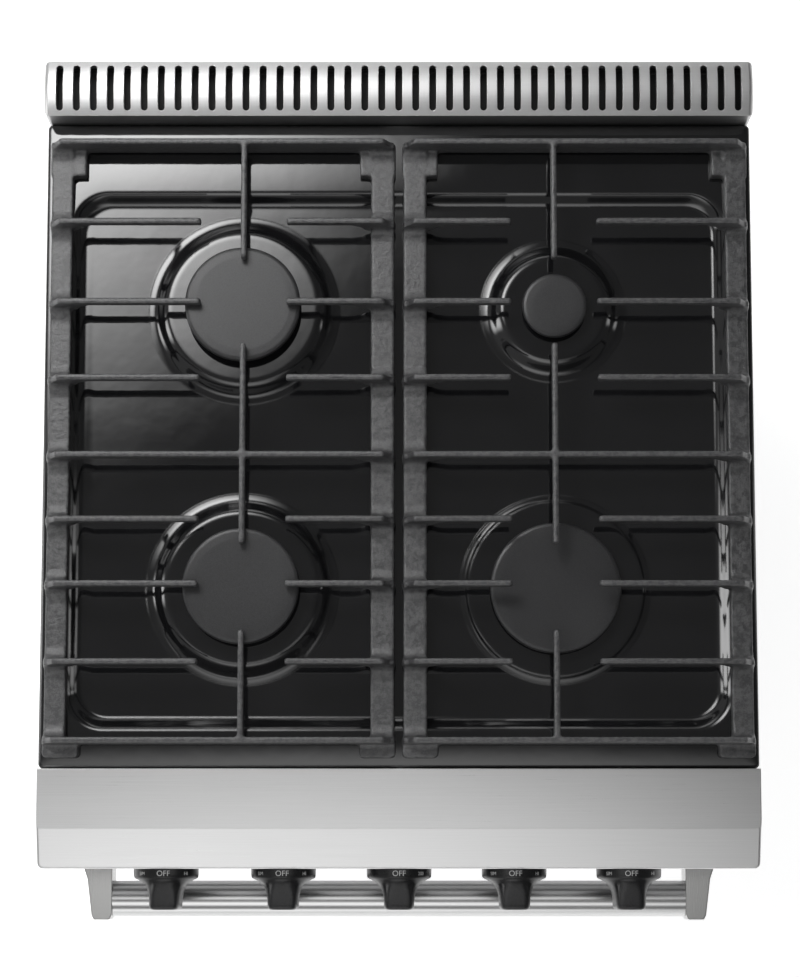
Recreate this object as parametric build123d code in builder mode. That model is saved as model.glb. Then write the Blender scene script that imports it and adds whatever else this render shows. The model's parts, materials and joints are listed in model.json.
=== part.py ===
"""Freestanding 24 inch gas range with four sealed burners, an oven and a bottom-hinged door.

Millimetres. X runs to the right, -Y is the front, +Z is up. The origin is on the floor,
under the centre of the whole range.
"""

import os
from math import cos, radians, sin

from build123d import *

os.makedirs("parts", exist_ok=True)

# Overall size
HALF_WIDTH = 303.0
FRONT_Y = -366.0
BACK_Y = 366.0
SHEET = 1.5
GAP = 0.3

# Body
BODY_BOTTOM_Z = 60.0
BODY_TOP_Z = 887.7
BODY_FRONT_Y = -256.0
BACK_PANEL_Y = 361.5
BASE_PAN_X = 284.0
BASE_PAN_TOP_Z = 86.0
LEG_X = 262.0
LEG_YS = (-200.0, 315.0)
LEG_RADIUS = 19.0
KICK_Y = -248.0
KICK_TOP_Z = 134.0
FLANGE = 18.0

# Back panel vents and screws
VENT_XS = (-150.0, 0.0, 150.0)
VENT_ZS = (700.0, 722.0, 744.0, 766.0, 788.0, 810.0)
VENT_HALF_LENGTH = 45.0
VENT_HEIGHT = 5.0
SCREW_X = 293.0
SCREW_POINTS = [(x, z) for x in (-SCREW_X, SCREW_X) for z in (90, 480, 870)] + [(0, 75), (0, 870)]
SCREW_RADIUS = 2.0
SCREW_HOLE_RADIUS = SCREW_RADIUS + 0.1
SCREW_HEAD_RADIUS = 4.0

# Gas inlet and power cord gland
INLET_X = 190.0
INLET_Z = 120.0
INLET_BORE_RADIUS = 7.5
GLAND_X = -200.0
GLAND_Z = 120.0
GLAND_RADIUS = 11.0
GLAND_BORE_RADIUS = 4.5

# Landing ledge across the front
LEDGE_TOP_Z = 914.0
LEDGE_NOSE_Y = -321.8
LEDGE_NOSE_Z = 903.6
LEDGE_BEVEL_Y = -288.4
LEDGE_BACK_Y = -238.5
LEDGE_BOTTOM_Z = 888.0

# Control panel
PANEL_FACE_Y = -301.8
PANEL_BOTTOM_Z = 794.0
PANEL_BACK_Y = -258.0

# Cooktop
RIM_Z = 908.0
PAN_Z = 899.0
COOKTOP_BACK_Y = 317.9
WELL_OUTER = (281.0, -205.6, 257.5, 30.0)
WELL_INNER = (271.0, -193.7, 248.8, 22.0)

# Burners: name, x, y, seat foot radius, seat top radius, seat height, head radius, head top z,
# cap radius, cap top z
BURNERS = (
    ("left_rear", -132.8, 155.4, 78.5, 63.5, 10.0, 44.0, 921.0, 49.0, 928.0),
    ("right_rear", 132.8, 155.4, 59.0, 43.2, 10.0, 23.5, 916.0, 27.5, 922.0),
    ("left_front", -132.8, -86.0, 78.5, 63.5, 10.0, 44.0, 921.0, 49.0, 928.0),
    ("right_front", 132.8, -86.0, 77.5, 74.0, 3.0, 50.0, 908.0, 55.5, 914.0),
)
THROAT_RADIUS = 14.0
THROAT_WALL = 3.0
HEAD_WALL = 6.0
HEAD_PORTS = 24
ELECTRODE_OFFSET = 1.9
ELECTRODE_RADIUS = 1.5

# Grates
GRATE_TOP_Z = 940.0
GRATE_FINGER_Z = 930.5
GRATE_RAIL_TOP_Z = 920.0
GRATE_RAIL_Z = 909.2
GRATE_PAD_Z = 908.3
GRATE_IN_X = 2.5
GRATE_OUT_X = 298.7
RAIL_IN_X = 24.0
RAIL_OUT_X = 279.0
GRATE_BAR = 5.4
RAIL_INSET = 1.2
RAIL_SWELL = ((-13, 0), (-7, 1.5), (-4, 4), (-2.5, 8), (2.5, 8), (4, 4), (7, 1.5), (13, 0))
SPINE_X = 131.5
TIP_REACH = 36.0
BACK_BAR_Y = 294.1
FRONT_BAR_Y = -216.0
MIDDLE_BAR_Y = 24.1
FINGER_YS = (224.7, 155.3, 89.7, -30.6, -85.2, -150.4)
SPINE_SPANS = ((192.0, BACK_BAR_Y), (-51.5, 119.5), (FRONT_BAR_Y, -123.5))

# Backguard
GUARD_FRONT_Y = 318.2
GUARD_EDGE_Z = 932.0
GUARD_CROWN_Z = 937.0
SLOT_COUNT = 41
SLOT_PITCH = 14.5
SLOT_WIDTH = 5.8
SLOT_LENGTH = 39.6

# Knobs and valves
KNOB_XS = (-199.3, -98.8, 0.2, 98.8, 197.0)
KNOB_Z = 854.0
KNOB_BACK_Y = -306.6
KNOB_SKIRT_Y = -331.5
KNOB_FRONT_Y = -356.4
KNOB_RADIUS = 28.0
GRIP_WIDTH = 24.0
GRIP_HEIGHT = 50.0
STEM_RADIUS = 4.0
MANIFOLD_RADIUS = 10.0
MANIFOLD_X = 270.0
VALVE_HALF_WIDTH = 12.0
VALVE_BORE_RADIUS = 7.6
COLLAR_RADIUS = 7.2
MANIFOLD_Y = -228.0

# Oven
OVEN_X = 245.0
OVEN_Z = (180.0, 620.0)
OVEN_BACK_Y = 215.0
LINER_FRONT_Y = -254.3
INSULATION = 25.0
OVEN_FLOOR_Z = 207.0
BAKE_Z = 193.0
BROIL_Z = 604.0
FLAME_TUBE_RADIUS = 11.0
LAMP_X = -170.0
LAMP_Z = 560.0
LAMP_RADIUS = 18.0
GUIDE_X = 238.0
GUIDE_ZS = (265.0, 330.0, 395.0, 460.0, 525.0)
RACK_X = 232.0
RACK_ZS = (330.0, 460.0)
RACK_WIRES = 15
RACK_WIRE_PITCH = 30.0
RACK_FRONT_Y = -235.0
RACK_BACK_Y = 200.0

# Door
DOOR_X = 299.0
DOOR_Z = (104.0, 786.0)
DOOR_FRONT_Y = -300.0
DOOR_BACK_Y = -262.0
HINGE_Y = -270.0
HINGE_Z = 118.0
HINGE_X = 255.0
HINGE_PIN_RADIUS = 4.0
WINDOW_X = 200.0
WINDOW_Z = (274.0, 574.0)
HANDLE_Y = -347.3
HANDLE_Z = 748.0
HANDLE_RADIUS = 16.0
HANDLE_END_X = 256.0


def block(x, y, z, mode=Mode.ADD):
    """Add or cut a box between two limits along each axis."""
    with Locations(((x[0] + x[1]) / 2, (y[0] + y[1]) / 2, (z[0] + z[1]) / 2)):
        Box(x[1] - x[0], y[1] - y[0], z[1] - z[0], mode=mode)


def rod_x(radius, x, y, z, mode=Mode.ADD):
    """Add or cut a cylinder along X."""
    with Locations(((x[0] + x[1]) / 2, y, z)):
        Cylinder(radius, x[1] - x[0], rotation=(0, 90, 0), mode=mode)


def rod_y(radius, x, y, z, mode=Mode.ADD):
    """Add or cut a cylinder along Y."""
    with Locations((x, (y[0] + y[1]) / 2, z)):
        Cylinder(radius, y[1] - y[0], rotation=(90, 0, 0), mode=mode)


def rod_z(radius, x, y, z, mode=Mode.ADD):
    """Add or cut a cylinder along Z."""
    with Locations((x, y, (z[0] + z[1]) / 2)):
        Cylinder(radius, z[1] - z[0], mode=mode)


def profile_x(points, x, mode=Mode.ADD):
    """Extrude a closed outline of (y, z) points between two X limits."""
    with BuildSketch(Plane.YZ.offset(x[0])) as outline:
        with BuildLine():
            Polyline(*points, close=True)
        make_face()
    extrude(outline.sketch, amount=x[1] - x[0], mode=mode)


def profile_y(points, y, thickness, mode=Mode.ADD):
    """Extrude a closed outline of (x, z) points evenly to both sides of a Y plane."""
    with BuildSketch(Plane.XZ.offset(-y)) as outline:
        with BuildLine():
            Polyline(*points, close=True)
        make_face()
    extrude(outline.sketch, amount=thickness / 2, both=True, mode=mode)


def rounded_well(x, y, radius, z):
    """A rounded rectangle on a level plane, used as one end of the cooktop's well."""
    with BuildSketch(Plane.XY.offset(z)) as outline:
        with Locations((0, (y[0] + y[1]) / 2)):
            RectangleRounded(2 * x, y[1] - y[0], radius)
    return outline.sketch


def turned(x, y, points, mode=Mode.ADD):
    """Revolve a closed outline of (radius, z) points about a vertical axis."""
    with BuildSketch(Plane((x, y, 0), x_dir=(1, 0, 0), z_dir=(0, -1, 0))) as outline:
        with BuildLine():
            Polyline(*points, close=True)
        make_face()
    revolve(outline.sketch, Axis((x, y, 0), (0, 0, 1)), mode=mode)


def save(builder, name):
    """Label one finished piece and write it out."""
    builder.part.label = name
    export_step(builder.part, f"parts/{name}.step")


# ---------------------------------------------------------------- body


def make_side_panel(side):
    """One folded side panel with a flange along its back and bottom edges."""
    outer = sorted((side * HALF_WIDTH, side * (HALF_WIDTH - SHEET)))
    flange = sorted((side * HALF_WIDTH, side * (HALF_WIDTH - FLANGE)))
    with BuildPart() as panel:
        block(outer, (BODY_FRONT_Y + 2, BACK_PANEL_Y - GAP), (BODY_BOTTOM_Z, BODY_TOP_Z))
        block(
            flange,
            (BACK_PANEL_Y - GAP - SHEET, BACK_PANEL_Y - GAP),
            (BODY_BOTTOM_Z, BODY_TOP_Z),
        )
        block(flange, (BODY_FRONT_Y + 2, BACK_PANEL_Y - GAP), (BODY_BOTTOM_Z, BODY_BOTTOM_Z + SHEET))
        for screw_x, screw_z in SCREW_POINTS:
            if screw_x * side > 0:
                rod_y(SCREW_HOLE_RADIUS, screw_x, (BACK_PANEL_Y - 4, BACK_PANEL_Y), screw_z, Mode.SUBTRACT)
    return panel


for side_name, side_sign in (("left", -1), ("right", 1)):
    side_panel = make_side_panel(side_sign)
    save(side_panel, f"side_panel_{side_name}")

with BuildPart() as back_panel:
    block(
        (-HALF_WIDTH + 1, HALF_WIDTH - 1),
        (BACK_PANEL_Y, BACK_PANEL_Y + SHEET),
        (BODY_BOTTOM_Z, BODY_TOP_Z),
    )
    rod_y(32, INLET_X, (BACK_PANEL_Y - 5, BACK_PANEL_Y + 5), INLET_Z, Mode.SUBTRACT)
    rod_y(GLAND_RADIUS + 0.2, GLAND_X, (BACK_PANEL_Y - 5, BACK_PANEL_Y + 5), GLAND_Z, Mode.SUBTRACT)
    for vent_z in VENT_ZS:
        for vent_x in VENT_XS:
            block(
                (vent_x - VENT_HALF_LENGTH, vent_x + VENT_HALF_LENGTH),
                (BACK_PANEL_Y - 5, BACK_PANEL_Y + 5),
                (vent_z, vent_z + VENT_HEIGHT),
                Mode.SUBTRACT,
            )
    for screw_x, screw_z in SCREW_POINTS:
        rod_y(SCREW_HOLE_RADIUS, screw_x, (BACK_PANEL_Y - 4, BACK_PANEL_Y + 4), screw_z, Mode.SUBTRACT)
save(back_panel, "back_panel")

with BuildPart() as base_pan:
    block(
        (-BASE_PAN_X, BASE_PAN_X),
        (KICK_Y + 4, BACK_PANEL_Y - GAP),
        (BODY_BOTTOM_Z + 2, BASE_PAN_TOP_Z),
    )
    block(
        (-BASE_PAN_X + SHEET, BASE_PAN_X - SHEET),
        (KICK_Y + 4 + SHEET, BACK_PANEL_Y - GAP - SHEET),
        (BODY_BOTTOM_Z + 2 + SHEET, BASE_PAN_TOP_Z + 4),
        Mode.SUBTRACT,
    )
    for leg_x in (-LEG_X, LEG_X):
        for leg_y in LEG_YS:
            rod_z(5.4, leg_x, leg_y, (55, 70), Mode.SUBTRACT)
    rod_y(SCREW_HOLE_RADIUS, 0, (BACK_PANEL_Y - 12, BACK_PANEL_Y), 75, Mode.SUBTRACT)
save(base_pan, "base_pan")

with BuildPart() as legs:
    for leg_x in (-LEG_X, LEG_X):
        for leg_y in LEG_YS:
            turned(
                leg_x,
                leg_y,
                (
                    (0, 0),
                    (14, 0),
                    (15, 1),
                    (15, 8),
                    (LEG_RADIUS, 12),
                    (LEG_RADIUS, BODY_BOTTOM_Z + 1.9),
                    (5, BODY_BOTTOM_Z + 1.9),
                    (5, BODY_BOTTOM_Z + 22),
                    (0, BODY_BOTTOM_Z + 22),
                ),
            )
save(legs, "levelling_legs")

with BuildPart() as kick_panel:
    block((-DOOR_X, DOOR_X), (KICK_Y, KICK_Y + SHEET), (BODY_BOTTOM_Z + 2, KICK_TOP_Z))
    for hinge_side in (-1, 1):
        block(
            (hinge_side * HINGE_X - 6, hinge_side * HINGE_X + 6),
            (KICK_Y - 2, KICK_Y + 4),
            (HINGE_Z - 12, HINGE_Z + 12),
            Mode.SUBTRACT,
        )
save(kick_panel, "kick_panel")

# ---------------------------------------------------------------- top trim

LEDGE_OUTLINE = (
    (LEDGE_NOSE_Y, LEDGE_BOTTOM_Z),
    (LEDGE_NOSE_Y, LEDGE_NOSE_Z),
    (LEDGE_BEVEL_Y, LEDGE_TOP_Z),
    (LEDGE_BACK_Y, LEDGE_TOP_Z),
    (LEDGE_BACK_Y, LEDGE_BOTTOM_Z),
)

with BuildPart() as landing_ledge:
    profile_x(LEDGE_OUTLINE, (-HALF_WIDTH, HALF_WIDTH))
    ends = landing_ledge.edges().filter_by(Axis.Z).group_by(Axis.Y)[0]
    fillet(ends, 5)
    nose = landing_ledge.edges().filter_by(
        lambda edge: abs(edge.center().Z - LEDGE_NOSE_Z) < 0.1 and edge.center().Y < LEDGE_NOSE_Y + 8
    )
    fillet(nose, 2.2)
    block(
        (-HALF_WIDTH + SHEET, HALF_WIDTH - SHEET),
        (LEDGE_NOSE_Y + 3.5, LEDGE_BACK_Y - SHEET),
        (LEDGE_BOTTOM_Z - 1, LEDGE_NOSE_Z - SHEET),
        Mode.SUBTRACT,
    )
    block(
        (-HALF_WIDTH + SHEET, HALF_WIDTH - SHEET),
        (LEDGE_BEVEL_Y, LEDGE_BACK_Y - SHEET),
        (LEDGE_BOTTOM_Z - 1, LEDGE_TOP_Z - SHEET),
        Mode.SUBTRACT,
    )
save(landing_ledge, "landing_ledge")

with BuildPart() as control_panel:
    block(
        (-HALF_WIDTH, HALF_WIDTH),
        (PANEL_FACE_Y, PANEL_BACK_Y),
        (PANEL_BOTTOM_Z, LEDGE_BOTTOM_Z - GAP),
    )
    block(
        (-HALF_WIDTH + SHEET, HALF_WIDTH - SHEET),
        (PANEL_FACE_Y + SHEET, PANEL_BACK_Y + 1),
        (PANEL_BOTTOM_Z + SHEET, LEDGE_BOTTOM_Z - GAP - SHEET),
        Mode.SUBTRACT,
    )
    for knob_x in KNOB_XS:
        rod_y(7, knob_x, (PANEL_FACE_Y - 2, PANEL_FACE_Y + 4), KNOB_Z, Mode.SUBTRACT)
save(control_panel, "control_panel")


def well_solid(grow, z):
    """The well's sloped prism, grown sideways and moved to start at a given height."""
    outer_x, outer_y0, outer_y1, outer_r = WELL_OUTER
    inner_x, inner_y0, inner_y1, inner_r = WELL_INNER
    rim = rounded_well(outer_x + grow, (outer_y0 - grow, outer_y1 + grow), outer_r + grow, z + RIM_Z - PAN_Z)
    pan = rounded_well(inner_x + grow, (inner_y0 - grow, inner_y1 + grow), inner_r + grow, z)
    return rim, pan


with BuildPart() as cooktop:
    block(
        (-HALF_WIDTH, HALF_WIDTH),
        (LEDGE_BACK_Y + GAP, COOKTOP_BACK_Y),
        (LEDGE_BOTTOM_Z, RIM_Z),
    )
    rim_edges = cooktop.edges().group_by(Axis.Z)[-1].filter_by(Axis.Y)
    fillet(rim_edges, 3)
    # Hollow the underside, leaving the skirt, the rim sheet and the underside of the well.
    block(
        (-HALF_WIDTH + SHEET, HALF_WIDTH - SHEET),
        (LEDGE_BACK_Y + GAP + SHEET, COOKTOP_BACK_Y - SHEET),
        (LEDGE_BOTTOM_Z - 1, RIM_Z - SHEET),
        Mode.SUBTRACT,
    )
    well_outside = well_solid(SHEET, PAN_Z - SHEET)
    loft(well_outside)
    well_inside = well_solid(0, PAN_Z)
    loft(well_inside, mode=Mode.SUBTRACT)
    for _, burner_x, burner_y, foot_r, seat_r, seat_h, head_r, *_ in BURNERS:
        turned(
            burner_x,
            burner_y,
            (
                (0, PAN_Z - 1),
                (foot_r, PAN_Z - 1),
                (foot_r, PAN_Z),
                (seat_r + 1, PAN_Z + seat_h - 0.7),
                (seat_r - 1, PAN_Z + seat_h),
                (0, PAN_Z + seat_h),
            ),
        )
        turned(
            burner_x,
            burner_y,
            (
                (0, PAN_Z - SHEET - 0.5),
                (foot_r - 2, PAN_Z - SHEET - 0.5),
                (foot_r - 2, PAN_Z - SHEET),
                (seat_r - 2, PAN_Z + seat_h - SHEET),
                (0, PAN_Z + seat_h - SHEET),
            ),
            Mode.SUBTRACT,
        )
        rod_z(THROAT_RADIUS + 2, burner_x, burner_y, (PAN_Z - 5, PAN_Z + seat_h + 1), Mode.SUBTRACT)
        electrode_y = burner_y + head_r + ELECTRODE_OFFSET
        rod_z(ELECTRODE_RADIUS + 0.4, burner_x, electrode_y, (PAN_Z - 5, PAN_Z + seat_h + 1), Mode.SUBTRACT)
save(cooktop, "cooktop")

with BuildPart() as backguard:
    with BuildSketch(Plane.YZ.offset(-HALF_WIDTH)) as guard_outline:
        with BuildLine():
            Polyline(
                (GUARD_FRONT_Y, GUARD_EDGE_Z),
                (GUARD_FRONT_Y, LEDGE_BOTTOM_Z),
                (BACK_Y, LEDGE_BOTTOM_Z),
                (BACK_Y, GUARD_EDGE_Z + 0.5),
            )
            ThreePointArc(
                (BACK_Y, GUARD_EDGE_Z + 0.5),
                ((GUARD_FRONT_Y + BACK_Y) / 2, GUARD_CROWN_Z),
                (GUARD_FRONT_Y, GUARD_EDGE_Z),
            )
        make_face()
    extrude(amount=2 * HALF_WIDTH)
    fillet(backguard.edges().filter_by(Axis.X).group_by(Axis.Z)[-1], 1.5)
    fillet(backguard.edges().filter_by(Axis.Z), 4)
    block(
        (-HALF_WIDTH + SHEET, HALF_WIDTH - SHEET),
        (GUARD_FRONT_Y + SHEET, BACK_Y - SHEET),
        (LEDGE_BOTTOM_Z - 1, GUARD_EDGE_Z - SHEET),
        Mode.SUBTRACT,
    )
    with BuildSketch(Plane.XY.offset(GUARD_EDGE_Z - 5)) as slots:
        with Locations((0, (GUARD_FRONT_Y + BACK_Y) / 2)):
            with GridLocations(SLOT_PITCH, 1, SLOT_COUNT, 1):
                SlotOverall(SLOT_LENGTH, SLOT_WIDTH, rotation=90)
    extrude(slots.sketch, amount=15, mode=Mode.SUBTRACT)
save(backguard, "backguard")

# ---------------------------------------------------------------- grates


def finger(tip_x, y, outward):
    """One cast finger: a thin bar that deepens toward its rail and ends in a sloped heel."""
    if outward:
        heel = (
            (RAIL_OUT_X + 9.5, GRATE_TOP_Z),
            (GRATE_OUT_X, GRATE_RAIL_TOP_Z + 1),
            (GRATE_OUT_X, GRATE_RAIL_TOP_Z - 5),
            (RAIL_OUT_X - 5, GRATE_RAIL_TOP_Z - 5),
            (RAIL_OUT_X - 9, GRATE_RAIL_TOP_Z + 5),
            (RAIL_OUT_X - 17, GRATE_FINGER_Z),
        )
    else:
        heel = (
            (RAIL_IN_X - 11, GRATE_TOP_Z),
            (GRATE_IN_X, GRATE_RAIL_TOP_Z + 1),
            (GRATE_IN_X, GRATE_RAIL_TOP_Z - 5),
            (RAIL_IN_X + 5, GRATE_RAIL_TOP_Z - 5),
            (RAIL_IN_X + 9, GRATE_RAIL_TOP_Z + 5),
            (RAIL_IN_X + 17, GRATE_FINGER_Z),
        )
    inset = 1.5 if outward else -1.5
    tip = ((tip_x, GRATE_FINGER_Z), (tip_x, GRATE_TOP_Z - 1.5), (tip_x + inset, GRATE_TOP_Z))
    profile_y(tip + heel, y, GRATE_BAR)


def full_bar(y, bottom_z, free_z):
    """A cast bar across the whole grate, deep at both rails and free between them."""
    profile_y(
        (
            (GRATE_IN_X, bottom_z),
            (GRATE_IN_X, GRATE_RAIL_TOP_Z + 1),
            (RAIL_IN_X - 11, GRATE_TOP_Z),
            (RAIL_OUT_X + 9.5, GRATE_TOP_Z),
            (GRATE_OUT_X, GRATE_RAIL_TOP_Z + 1),
            (GRATE_OUT_X, bottom_z),
            (RAIL_OUT_X - 5, bottom_z),
            (RAIL_OUT_X - 17, free_z),
            (RAIL_IN_X + 17, free_z),
            (RAIL_IN_X + 5, bottom_z),
        ),
        y,
        GRATE_BAR,
    )


def spine(near_y, far_y, root_at_far):
    """A bar along Y over the burners, with a deep root where it meets an end bar."""
    root, tip = (far_y, near_y) if root_at_far else (near_y, far_y)
    lean = 1 if root_at_far else -1
    profile_x(
        (
            (tip, GRATE_FINGER_Z),
            (tip, GRATE_TOP_Z - 1.5),
            (tip + lean * 1.5, GRATE_TOP_Z),
            (root, GRATE_TOP_Z),
            (root, GRATE_RAIL_TOP_Z - 4),
            (root - lean * 8, GRATE_RAIL_TOP_Z + 2),
            (root - lean * 18, GRATE_FINGER_Z),
        ),
        (SPINE_X - GRATE_BAR / 2, SPINE_X + GRATE_BAR / 2),
    )


with BuildPart() as grate_right:
    for rail in ((GRATE_IN_X + RAIL_INSET, RAIL_IN_X), (RAIL_OUT_X, GRATE_OUT_X - RAIL_INSET)):
        block(rail, (FRONT_BAR_Y, BACK_BAR_Y), (GRATE_RAIL_Z, GRATE_RAIL_TOP_Z))
        # The rail swells up to meet each bar.
        for bar_y in (BACK_BAR_Y, MIDDLE_BAR_Y, FRONT_BAR_Y, *FINGER_YS):
            swell = [
                (bar_y + lean, GRATE_RAIL_TOP_Z + rise)
                for lean, rise in RAIL_SWELL
                if FRONT_BAR_Y - 2.5 <= bar_y + lean <= BACK_BAR_Y + 2.5
            ]
            swell.append((swell[-1][0], GRATE_RAIL_TOP_Z - 1))
            swell.append((swell[0][0], GRATE_RAIL_TOP_Z - 1))
            profile_x(swell, rail)
    # Corner pads rest on the cooktop rim.
    for pad_x in ((GRATE_IN_X, GRATE_IN_X + 31), (GRATE_OUT_X - 31, GRATE_OUT_X)):
        block(pad_x, (BACK_BAR_Y - 25, BACK_BAR_Y + 2.5), (GRATE_PAD_Z, GRATE_RAIL_TOP_Z))
        block(pad_x, (FRONT_BAR_Y - 14, FRONT_BAR_Y + 3), (GRATE_PAD_Z, GRATE_RAIL_TOP_Z))
    pad_corners = grate_right.edges().filter_by(Axis.Z).filter_by(
        lambda edge: edge.center().Y < FRONT_BAR_Y - 10
    )
    fillet(pad_corners, 4)
    full_bar(BACK_BAR_Y, GRATE_RAIL_Z, GRATE_RAIL_Z + 2)
    full_bar(FRONT_BAR_Y, GRATE_RAIL_Z, GRATE_RAIL_Z + 3)
    full_bar(MIDDLE_BAR_Y, GRATE_RAIL_TOP_Z - 5, GRATE_FINGER_Z - 3)
    for finger_y in FINGER_YS:
        finger(SPINE_X + TIP_REACH, finger_y, True)
        finger(SPINE_X - TIP_REACH, finger_y, False)
    spine(*SPINE_SPANS[0], True)
    spine(*SPINE_SPANS[2], False)
    block(
        (SPINE_X - GRATE_BAR / 2, SPINE_X + GRATE_BAR / 2),
        SPINE_SPANS[1],
        (GRATE_FINGER_Z, GRATE_TOP_Z),
    )

with BuildPart() as grate_left:
    mirror(grate_right.part, about=Plane.YZ)

save(grate_right, "grate_right")
save(grate_left, "grate_left")

# ---------------------------------------------------------------- burners

for burner_name, burner_x, burner_y, foot_r, seat_r, seat_h, head_r, head_z, cap_r, cap_z in BURNERS:
    seat_z = PAN_Z + seat_h
    with BuildPart() as head:
        turned(
            burner_x,
            burner_y,
            (
                (THROAT_RADIUS - THROAT_WALL, seat_z - 14),
                (THROAT_RADIUS, seat_z - 14),
                (THROAT_RADIUS, seat_z + 0.2),
                (head_r - 1, seat_z + 0.2),
                (head_r, seat_z + 1.2),
                (head_r, head_z),
                (head_r - HEAD_WALL, head_z),
                (head_r - HEAD_WALL, seat_z + 2.5),
                (THROAT_RADIUS - THROAT_WALL, seat_z + 2.5),
            ),
        )
        for port in range(HEAD_PORTS):
            turn = radians(360 / HEAD_PORTS * port)
            with Locations(
                Location(
                    (
                        burner_x + (head_r - 3) * cos(turn),
                        burner_y + (head_r - 3) * sin(turn),
                        head_z,
                    ),
                    (0, 0, 360 / HEAD_PORTS * port),
                )
            ):
                Box(9, 1.6, 2 * min(5, head_z - seat_z - 3), mode=Mode.SUBTRACT)
    save(head, f"burner_head_{burner_name}")

    with BuildPart() as cap:
        turned(
            burner_x,
            burner_y,
            (
                (0, head_z + 0.2),
                (cap_r - 2, head_z + 0.2),
                (cap_r, head_z + 1.6),
                (cap_r, cap_z - 2.2),
                (cap_r - 0.9, cap_z - 0.8),
                (cap_r - 3, cap_z - 0.2),
                (cap_r - 9, cap_z),
                (0, cap_z),
            ),
        )
        turned(
            burner_x,
            burner_y,
            (
                (head_r - 10, head_z - 1.5),
                (head_r - 6.5, head_z - 1.5),
                (head_r - 6.5, head_z + 1),
                (head_r - 10, head_z + 1),
            ),
        )
    save(cap, f"burner_cap_{burner_name}")

with BuildPart() as electrodes:
    for _, burner_x, burner_y, _, _, _, head_r, head_z, *_ in BURNERS:
        electrode_y = burner_y + head_r + ELECTRODE_OFFSET
        rod_z(ELECTRODE_RADIUS, burner_x, electrode_y, (PAN_Z - 22, head_z - 3))
        rod_z(0.6, burner_x, electrode_y, (head_z - 3, head_z - 1))
save(electrodes, "spark_electrodes")

with BuildPart() as injector_holders:
    for _, burner_x, burner_y, _, _, seat_h, *_ in BURNERS:
        seat_z = PAN_Z + seat_h
        rod_z(22, burner_x, burner_y, (seat_z - 34, seat_z - 16))
        rod_z(6, burner_x, burner_y, (seat_z - 16.5, seat_z - 14.8))
        rod_y(6, burner_x, (burner_y - 34, burner_y), seat_z - 27)
save(injector_holders, "injector_holders")

# ---------------------------------------------------------------- gas train

with BuildPart() as gas_manifold:
    rod_x(MANIFOLD_RADIUS, (-MANIFOLD_X, MANIFOLD_X), MANIFOLD_Y, KNOB_Z)
    for knob_x in KNOB_XS:
        rod_y(4.6, knob_x, (MANIFOLD_Y - 16, MANIFOLD_Y), KNOB_Z, Mode.SUBTRACT)
save(gas_manifold, "gas_manifold")

with BuildPart() as gas_valves:
    for knob_x in KNOB_XS:
        block(
            (knob_x - VALVE_HALF_WIDTH, knob_x + VALVE_HALF_WIDTH),
            (-291, MANIFOLD_Y - MANIFOLD_RADIUS - GAP),
            (KNOB_Z - VALVE_HALF_WIDTH, KNOB_Z + VALVE_HALF_WIDTH),
        )
        rod_y(VALVE_BORE_RADIUS, knob_x, (-295, -262), KNOB_Z, Mode.SUBTRACT)
        rod_y(4.4, knob_x, (MANIFOLD_Y - 16, MANIFOLD_Y - 8), KNOB_Z)
save(gas_valves, "gas_valves")

for number, knob_x in enumerate(KNOB_XS, start=1):
    with BuildPart() as collar:
        rod_y(COLLAR_RADIUS, knob_x, (-290, -279), KNOB_Z)
        rod_y(STEM_RADIUS + 0.3, knob_x, (-295, -270), KNOB_Z, Mode.SUBTRACT)
    save(collar, f"valve_collar_{number}")

    with BuildPart() as stem:
        rod_y(STEM_RADIUS, knob_x, (KNOB_SKIRT_Y, -268), KNOB_Z)
        block(
            (knob_x - 5, knob_x + 5),
            (KNOB_SKIRT_Y - 1, -300),
            (KNOB_Z + STEM_RADIUS - 1.2, KNOB_Z + STEM_RADIUS + 1),
            Mode.SUBTRACT,
        )
    save(stem, f"valve_stem_{number}")

    with BuildPart() as knob:
        knob_plane = Plane((knob_x, 0, KNOB_Z), x_dir=(1, 0, 0), z_dir=(0, 0, 1))
        with BuildSketch(knob_plane) as half_skirt:
            with BuildLine():
                Polyline(
                    (0, KNOB_BACK_Y),
                    (KNOB_RADIUS, KNOB_BACK_Y),
                    (KNOB_RADIUS - 0.6, KNOB_SKIRT_Y + 3),
                    (KNOB_RADIUS - 1.4, KNOB_SKIRT_Y + 0.8),
                    (KNOB_RADIUS - 3.6, KNOB_SKIRT_Y),
                    (0, KNOB_SKIRT_Y - 1),
                    close=True,
                )
            make_face()
        revolve(half_skirt.sketch, Axis((knob_x, 0, KNOB_Z), (0, 1, 0)))
        # The grip bar narrows a little from the skirt to its rounded front end.
        with BuildSketch(Plane.XZ.offset(-KNOB_SKIRT_Y - 1.5)) as grip_root:
            with Locations((knob_x, KNOB_Z)):
                RectangleRounded(GRIP_WIDTH + 3, GRIP_HEIGHT, 8)
        with BuildSketch(Plane.XZ.offset(-KNOB_FRONT_Y)) as grip_tip:
            with Locations((knob_x, KNOB_Z)):
                RectangleRounded(GRIP_WIDTH - 2, GRIP_HEIGHT - 5, 8)
        loft((grip_root.sketch, grip_tip.sketch))
        tip_edges = knob.edges().group_by(Axis.Y)[0]
        fillet(tip_edges, 2.5)
        # The skirt is hollow behind, around a hub with a bore for the stem.
        rod_y(KNOB_RADIUS - 3, knob_x, (KNOB_BACK_Y - 8, KNOB_BACK_Y + 1), KNOB_Z, Mode.SUBTRACT)
        rod_y(8, knob_x, (KNOB_BACK_Y - 9, KNOB_BACK_Y - 1), KNOB_Z)
        rod_y(STEM_RADIUS + 0.15, knob_x, (KNOB_SKIRT_Y - 0.2, KNOB_BACK_Y + 2), KNOB_Z, Mode.SUBTRACT)
    save(knob, f"knob_{number}")

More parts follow.
